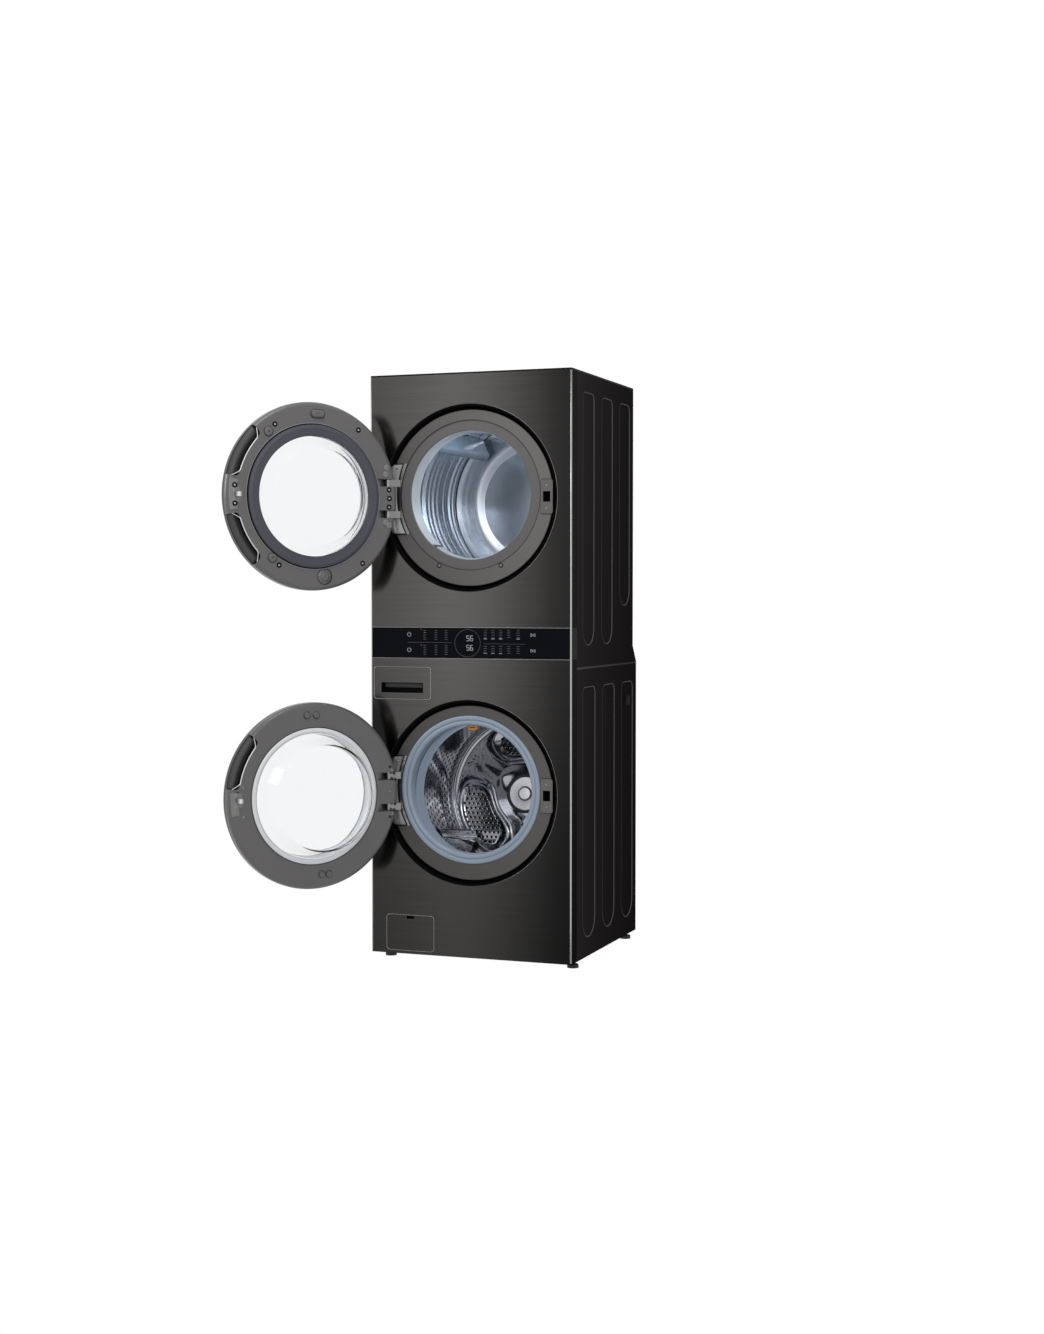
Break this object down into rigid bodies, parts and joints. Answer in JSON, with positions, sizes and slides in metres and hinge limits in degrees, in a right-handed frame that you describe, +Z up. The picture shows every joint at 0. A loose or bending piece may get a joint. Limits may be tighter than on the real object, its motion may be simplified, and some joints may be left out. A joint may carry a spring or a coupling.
{
  "type": "washer dryer stack",
  "caption": "Full-height laundry tower: a front-loading washer under a dryer in one dark stainless cabinet, with round swing doors, a control strip, detergent drawer and filter flap.",
  "frame": {"origin": "on the floor, under the middle of the cabinet's footprint", "axes": "+Z up, -Y towards the user (the doors are on the -Y side), +X to the right seen from the front"},
  "size_m": [0.9764, 1.192, 1.889],
  "materials": {
    "black_stainless": "satin, brushed across",
    "door_face": "satin",
    "side_paint": "satin",
    "top_paint": "satin",
    "galvanised": "matt",
    "pan_paint": "matt",
    "strip_glass": "polished",
    "board": "matt",
    "ring_plastic": "satin",
    "fitting_steel": "satin",
    "latch_plastic": "satin",
    "gasket_rubber": "satin",
    "seal_rubber": "matt",
    "grey_plastic": "matt",
    "tub_plastic": "matt",
    "cast_weight": "rough",
    "motor_iron": "matt",
    "drum_steel": "polished",
    "lifter_steel": "polished",
    "dryer_steel": "satin",
    "pale_plastic": "satin",
    "black_rubber": "matt",
    "plug_plastic": "matt",
    "door_grey": "satin",
    "door_glass": "polished",
    "door_window": "polished"
  },
  "bodies": {
    "cabinet": {"base_pan": "pan_paint", "washer_side_panels": "side_paint", "washer_back_panel": "galvanised", "dryer_side_panels": "side_paint", "dryer_back_panel": "galvanised", "top_cover": "top_paint", "mid_deck": "galvanised", "washer_front_panel": "black_stainless", "dryer_front_panel": "black_stainless", "control_fascia": "strip_glass", "control_board": "board", "washer_door_surround": "ring_plastic", "dryer_door_surround": "ring_plastic", "door_hinge_plates": "fitting_steel", "door_latches": "latch_plastic", "door_gasket": "gasket_rubber", "dispenser_housing": "grey_plastic", "drain_pump": "grey_plastic", "inlet_valve": "grey_plastic", "dryer_front_bulkhead": "ring_plastic", "dryer_rear_bulkhead": "dryer_steel", "dryer_motor": "motor_iron", "drive_belt": "black_rubber", "blower_housing": "grey_plastic", "exhaust_duct": "dryer_steel", "tub_suspension": "fitting_steel"},
    "tub": {"tub_front": "tub_plastic", "tub_rear": "tub_plastic", "counterweights": "cast_weight", "motor_stator": "motor_iron"},
    "washer_basket": {"washer_drum": "drum_steel", "drum_lifters": "lifter_steel", "drum_spider": "lifter_steel", "motor_rotor": "motor_iron"},
    "dryer_basket": {"dryer_drum": "dryer_steel", "dryer_baffles": "pale_plastic"},
    "dryer_rotor": {"motor_shaft": "fitting_steel", "blower_wheel": "grey_plastic"},
    "left_roller": {"left_drum_roller": "black_rubber"},
    "right_roller": {"right_drum_roller": "black_rubber"},
    "drawer": {"detergent_drawer": "grey_plastic", "drawer_front": "black_stainless"},
    "flap": {"filter_flap": "black_stainless"},
    "plug": {"filter_plug": "plug_plastic"},
    "lint_screen": {"lint_filter": "pale_plastic"},
    "washer_door": {"washer_door_outer_frame": "door_face", "washer_door_inner_frame": "door_grey", "washer_door_window": "door_window", "washer_door_glass": "door_glass", "washer_door_fittings": "fitting_steel"},
    "dryer_door": {"dryer_door_outer_frame": "door_face", "dryer_door_inner_frame": "door_grey", "dryer_door_window": "door_window", "dryer_door_glass": "door_glass", "dryer_door_seal": "seal_rubber", "dryer_door_fittings": "fitting_steel"},
    "foot_front_left": {"front_left_foot": "black_rubber"},
    "foot_front_right": {"front_right_foot": "black_rubber"},
    "foot_rear_left": {"rear_left_foot": "black_rubber"},
    "foot_rear_right": {"rear_right_foot": "black_rubber"}
  },
  "joints": [
    {"name": "dryer_door_hinge", "type": "hinge", "parent": "cabinet", "child": "dryer_door", "pos_m": [-0.27, -0.371, 1.492], "axis": [0, 0, 1], "range_deg": [0, 128.5]},
    {"name": "washer_door_hinge", "type": "hinge", "parent": "cabinet", "child": "washer_door", "pos_m": [-0.27, -0.371, 0.554], "axis": [0, 0, 1], "range_deg": [0, 128.5]},
    {"name": "dryer_drum_spin", "type": "hinge", "parent": "cabinet", "child": "dryer_basket", "pos_m": [0, -0.015, 1.501], "axis": [0, 1, 0], "continuous": true},
    {"name": "dryer_motor_spin", "type": "hinge", "parent": "cabinet", "child": "dryer_rotor", "pos_m": [0.15, -0.085, 1.062], "axis": [0, 1, 0], "continuous": true},
    {"name": "left_roller_spin", "type": "hinge", "parent": "cabinet", "child": "left_roller", "pos_m": [-0.19178, 0.23, 1.25554], "axis": [0, 1, 0], "continuous": true},
    {"name": "right_roller_spin", "type": "hinge", "parent": "cabinet", "child": "right_roller", "pos_m": [0.19178, 0.23, 1.25554], "axis": [0, 1, 0], "continuous": true},
    {"name": "washer_tub_float", "type": "slide", "parent": "cabinet", "child": "tub", "axis": [0, 0, 1], "range_m": [-0.008, 0.008], "stiffness_N_per_m": 60000, "springref_m": 0.004, "deforming": ["tub_suspension", "door_gasket"]},
    {"name": "washer_drum_spin", "type": "hinge", "parent": "tub", "child": "washer_basket", "pos_m": [0, -0.285, 0.564], "axis": [0, 0.9912, -0.1323], "continuous": true},
    {"name": "detergent_drawer_slide", "type": "slide", "parent": "cabinet", "child": "drawer", "axis": [0, -1, 0], "range_m": [0, 0.2]},
    {"name": "filter_flap_hinge", "type": "hinge", "parent": "cabinet", "child": "flap", "pos_m": [-0.20625, -0.3405, 0.0435], "axis": [1, 0, 0], "range_deg": [0, 90]},
    {"name": "filter_plug_turn", "type": "hinge", "parent": "cabinet", "child": "plug", "pos_m": [-0.20625, -0.285, 0.0945], "axis": [0, 1, 0], "range_deg": [0, 180]},
    {"name": "lint_filter_lift", "type": "slide", "parent": "cabinet", "child": "lint_screen", "axis": [0, 0, -1], "range_m": [-0.15, 0]},
    {"name": "front_left_foot_screw", "type": "slide", "parent": "cabinet", "child": "foot_front_left", "axis": [0, 0, -1], "range_m": [-0.005, 0.012]},
    {"name": "front_right_foot_screw", "type": "slide", "parent": "cabinet", "child": "foot_front_right", "axis": [0, 0, -1], "range_m": [-0.005, 0.012]},
    {"name": "rear_left_foot_screw", "type": "slide", "parent": "cabinet", "child": "foot_rear_left", "axis": [0, 0, -1], "range_m": [-0.005, 0.012]},
    {"name": "rear_right_foot_screw", "type": "slide", "parent": "cabinet", "child": "foot_rear_right", "axis": [0, 0, -1], "range_m": [-0.005, 0.012]}
  ],
  "couplings": [
    {"joint": "dryer_motor_spin", "follows": "dryer_drum_spin", "ratio": 23.933},
    {"joint": "left_roller_spin", "follows": "dryer_drum_spin", "ratio": -11.967},
    {"joint": "right_roller_spin", "follows": "dryer_drum_spin", "ratio": -11.967}
  ]
}
